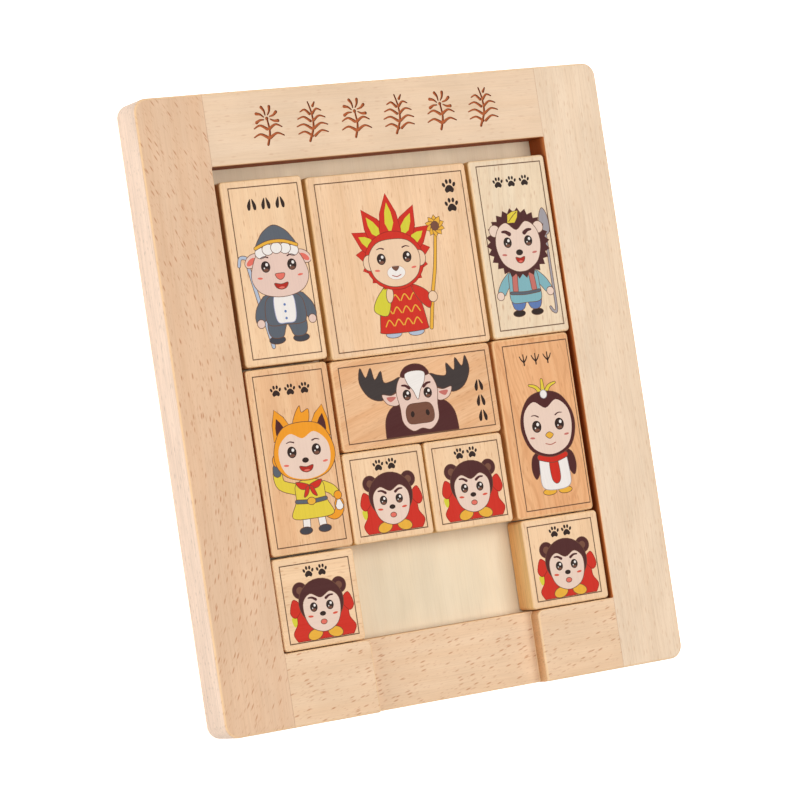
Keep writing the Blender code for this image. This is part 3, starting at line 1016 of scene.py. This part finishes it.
def recess_wall(x, side):
    """Sections across one wall of the recess, from the rail's top down to the recess floor."""
    low = TOP - RECESS_DEPTH
    rings = [rail_ring(-1, x + side * WALL_MARGIN)]
    for cos, sin in quarter():
        place, height = x + side * RECESS_EDGE * (1 - sin), TOP - RECESS_EDGE * (1 - cos)
        rings.append(rail_ring(-1, place, height, mouth=side))
    for cos, sin in quarter(3):
        place, height = x - side * RECESS_FILLET * (1 - cos), low + RECESS_FILLET * (1 - sin)
        rings.append(rail_ring(-1, place, height, mouth=side))
    rings.append(rail_ring(-1, x - side * WALL_MARGIN, low))
    return rings


def make_bottom_rail():
    """The lower cross piece, with the exit recess in its face."""
    reach = POCKET_X - JOINT_LINE
    rings = [rail_ring(-1, -reach, pocket_edge=0), rail_ring(-1, TAPER - reach)]
    rings += recess_wall(RECESS_CENTRE - RECESS_WIDTH / 2, -1)
    rings += recess_wall(RECESS_CENTRE + RECESS_WIDTH / 2, 1)[::-1]
    rings += [rail_ring(-1, reach - TAPER), rail_ring(-1, reach, pocket_edge=0)]
    return ring_solid(rings)


def frame_woods():
    """The wood of each piece of the frame, by the piece's name."""
    outer = srgb(226, 203, 184)
    # Pocket walls: the inner colour is painted shade, darkening into the low colour towards the bottom as
    # more painted shade; the outer colour is painted light on the outward sides.
    walls = {"outer": outer, "inner": srgb(226, 140, 80), "low": srgb(150, 76, 34),
             "painted_shade_from": 13.8, "painted_shade_to": 10.5}
    # Recess walls: lighter painted shade in the same way, with the same painted light outside.
    recess = {"outer": outer, "inner": srgb(232, 188, 142), "low": srgb(210, 158, 112),
              "painted_shade_from": 14.0, "painted_shade_to": 9.0}
    left = wood("left_stile_wood", srgb(231, 198, 167), srgb(221, 180, 144), "Y", 1.0, **walls,
                flecks=0.6, fleck_spread=0.18, fleck_bow=-0.003, fleck_colour=srgb(178, 112, 72),
                fibres=0.25)
    right = wood("right_stile_wood", srgb(240, 218, 192), srgb(230, 200, 168), "Y", 2.0, **walls,
                 flecks=0.4, fleck_spread=0.15, fleck_colour=srgb(208, 168, 130),
                 fibres=0.35, bands=0.3, band_width=3.5)
    top = wood("top_rail_wood", srgb(236, 210, 182), srgb(230, 198, 164), "X", 3.0, **walls,
               flecks=0.2, fibres=0.25, printed=True)
    bottom = wood("bottom_rail_wood", srgb(238, 208, 176), srgb(228, 190, 152), "X", 4.0, **recess,
                  flecks=0.6, fleck_spread=0.2, fleck_tilt=-14, fleck_colour=srgb(182, 116, 76),
                  fibres=0.25)
    return {"left_stile": left, "right_stile": right, "top_rail": top, "bottom_rail": bottom}


def build_frame():
    """The four pieces of the frame."""
    woods = frame_woods()
    solids = {
        "left_stile": make_stile(-1),
        "right_stile": make_stile(1),
        "top_rail": make_top_rail(),
        "bottom_rail": make_bottom_rail(),
    }
    for name, bm in solids.items():
        stand_for(as_object("beech_" + name, bm, woods[name]), name, "tray")


def finish_inside():
    """New wood for the floor panel and the dowels, which keep their CAD shapes."""
    floor = wood("tray_floor_wood", srgb(234, 219, 192), srgb(229, 210, 178), "Y", 5.0,
                 flecks=0.0, fibres=0.18, bands=0.3, band_width=3.0, roughness=0.6)
    dowel = wood("dowel_wood", srgb(226, 190, 150), srgb(206, 164, 118), "X", 6.0)
    for name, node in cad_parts.items():
        if name == "tray_floor":
            node.data.materials[0] = floor
        elif name.endswith("_dowel"):
            node.data.materials[0] = dowel


# ---- blocks


def block_solid(low, high):
    """A block with rounded edges, between two corners."""
    width, height = high.x - low.x, high.y - low.y
    middle = (low + high) / 2
    profile = [(BLOCK_FOOT * (1 - sin), low.z + BLOCK_FOOT * (1 - cos)) for cos, sin in quarter(3)]
    profile += [(BLOCK_EDGE * (1 - cos), high.z - BLOCK_EDGE * (1 - sin)) for cos, sin in quarter()]
    rings = []
    for inset, z in profile:
        outline = rectangle(width - 2 * inset, height - 2 * inset, BLOCK_CORNER - inset)
        rings.append([(x + middle.x, y + middle.y, z) for x, y in outline])
    return ring_solid(rings)


# Each wood's inner colour is painted shade on the blocks' upright faces, and its low colour is darker
# painted shade towards their bottom.
WOODS = {
    "straw": {"pale": srgb(245, 212, 174), "deep": srgb(234, 192, 150), "fibres": 0.32,
              "inner": srgb(244, 204, 142), "low": srgb(234, 178, 114)},
    "honey": {"pale": srgb(240, 200, 158), "deep": srgb(222, 164, 118),
              "inner": srgb(238, 180, 120), "low": srgb(220, 148, 90)},
}

# Name, picture, how far the print sits off centre, kind of wood, and what sets the block's wood apart.
BLOCKS = (
    ("tall_block_upper_left", lamb, (0.4, 0.0), "straw", {"seed": 11.0}),
    ("large_square_block", lion, (0.4, -0.3), "straw",
     {"seed": 12.0, "pale": srgb(244, 210, 174), "deep": srgb(234, 190, 146), "fibres": 0.4}),
    ("tall_block_upper_right", hedgehog, (0.4, 0.2), "straw",
     {"seed": 13.0, "pale": srgb(240, 222, 194), "deep": srgb(230, 202, 168), "tilt": -6, "figure": 0.15}),
    ("tall_block_lower_left", fox, (0.0, 0.1), "honey", {"seed": 14.0, "fibres": 0.3}),
    ("wide_block", moose, (0.3, 0.0), "honey",
     {"seed": 26.0, "pale": srgb(240, 196, 154), "deep": srgb(222, 164, 114), "along": "X",
      "bands": 0.6, "tilt": 16, "figure": 0.08, "figure_width": 2.2, "fibres": 0.35}),
    ("tall_block_lower_right", penguin, (1.3, 0.0), "honey",
     {"seed": 16.0, "pale": srgb(238, 186, 138), "deep": srgb(218, 148, 96), "tilt": 5, "figure": 0.25}),
    ("small_block_inner_left", bear, (0.1, 0.0), "straw", {"seed": 17.0}),
    ("small_block_inner_right", bear, (0.3, 0.0), "straw", {"seed": 18.0}),
    ("small_block_corner_left", bear, (0.0, -0.2), "straw", {"seed": 19.0, "along": "X"}),
    ("small_block_corner_right", bear, (-0.4, 0.0), "straw", {"seed": 20.0}),
)


def make_block(name, draw, shift, kind, changes):
    """A loose block with a printed border and picture."""
    low, high = low_high(name)
    width, height = high.x - low.x - 2 * BORDER_INSET, high.y - low.y - 2 * BORDER_INSET
    picture = Picture()
    picture.fill(rectangle(width + BORDER_LINE, height + BORDER_LINE), BORDER)
    picture.fill(rectangle(width - BORDER_LINE, height - BORDER_LINE), BARE)
    draw(picture)
    bm = block_solid(low, high)
    print_on_top(bm, picture, shift)
    look = {**WOODS[kind], **changes, "printed": True}
    piece = as_object("printed_" + name, bm, wood(name + "_wood", **look))
    stand_for(piece, name, name)


def build_blocks():
    """The ten loose blocks."""
    for block in BLOCKS:
        make_block(*block)


# ---- studio


def add_floor():
    """A plain white floor under the puzzle."""
    bm = bmesh.new()
    bmesh.ops.create_grid(bm, x_segments=1, y_segments=1, size=GROUND_REACH)
    bmesh.ops.translate(bm, verts=bm.verts, vec=(0, 0, -GROUND_DROP))
    material = bpy.data.materials.new("studio_floor")
    material.use_nodes = True
    shader = material.node_tree.nodes["Principled BSDF"]
    shader.inputs["Base Color"].default_value = GROUND_GREY
    shader.inputs["Roughness"].default_value = 0.9
    shader.inputs["Emission Color"].default_value = BRIGHT
    shader.inputs["Emission Strength"].default_value = GROUND_GLOW
    as_object("studio_floor", bm, material)


def add_light(name, place, size, power, colour):
    """A square soft light that faces the board."""
    data = bpy.data.lights.new(name, "AREA")
    data.size = size * MM
    data.energy = power
    data.color = colour
    light = bpy.data.objects.new(name, data)
    bpy.context.collection.objects.link(light)
    light.location = Vector(place) * MM
    light.rotation_euler = (-light.location).to_track_quat("-Z", "Y").to_euler()


def add_surroundings():
    """A faint warm light from all around, seen by the camera as plain white."""
    world = bpy.data.worlds.new("studio")
    world.use_nodes = True
    nodes = Nodes(world)
    warm = nodes.tree.nodes["Background"]
    warm.inputs["Color"].default_value = WARM
    warm.inputs["Strength"].default_value = WARM_STRENGTH
    seen = nodes.add("ShaderNodeLightPath", {}).outputs["Is Camera Ray"]
    white = nodes.add("ShaderNodeBackground", {"Color": BRIGHT})
    both = nodes.add("ShaderNodeMixShader", {0: seen, 1: warm.outputs[0], 2: white.outputs[0]})
    nodes.tree.links.new(both.outputs[0], nodes.tree.nodes["World Output"].inputs["Surface"])
    bpy.context.scene.world = world


def add_studio():
    """Floor, lights and surroundings."""
    add_floor()
    add_light("key", *KEY_LIGHT)
    add_light("side", *SIDE_LIGHT)
    add_surroundings()
    bpy.context.scene.view_settings.view_transform = "Standard"


def add_camera():
    """The camera that sees the board as the photograph does."""
    data = bpy.data.cameras.new("camera")
    data.lens = CAMERA_LENS
    camera = bpy.data.objects.new("camera", data)
    bpy.context.collection.objects.link(camera)
    turn = Matrix.Rotation(math.radians(CAMERA_PITCH), 4, "X")
    turn @= Matrix.Rotation(math.radians(CAMERA_YAW), 4, "Y")
    turn @= Matrix.Rotation(math.radians(CAMERA_ROLL), 4, "Z")
    aim = Matrix.Translation(Vector(CAMERA_AIM) * MM)
    camera.matrix_world = aim @ turn @ Matrix.Translation(Vector(CAMERA_BACK) * MM)
    bpy.context.scene.camera = camera


build_frame()
finish_inside()
build_blocks()
add_studio()
add_camera()
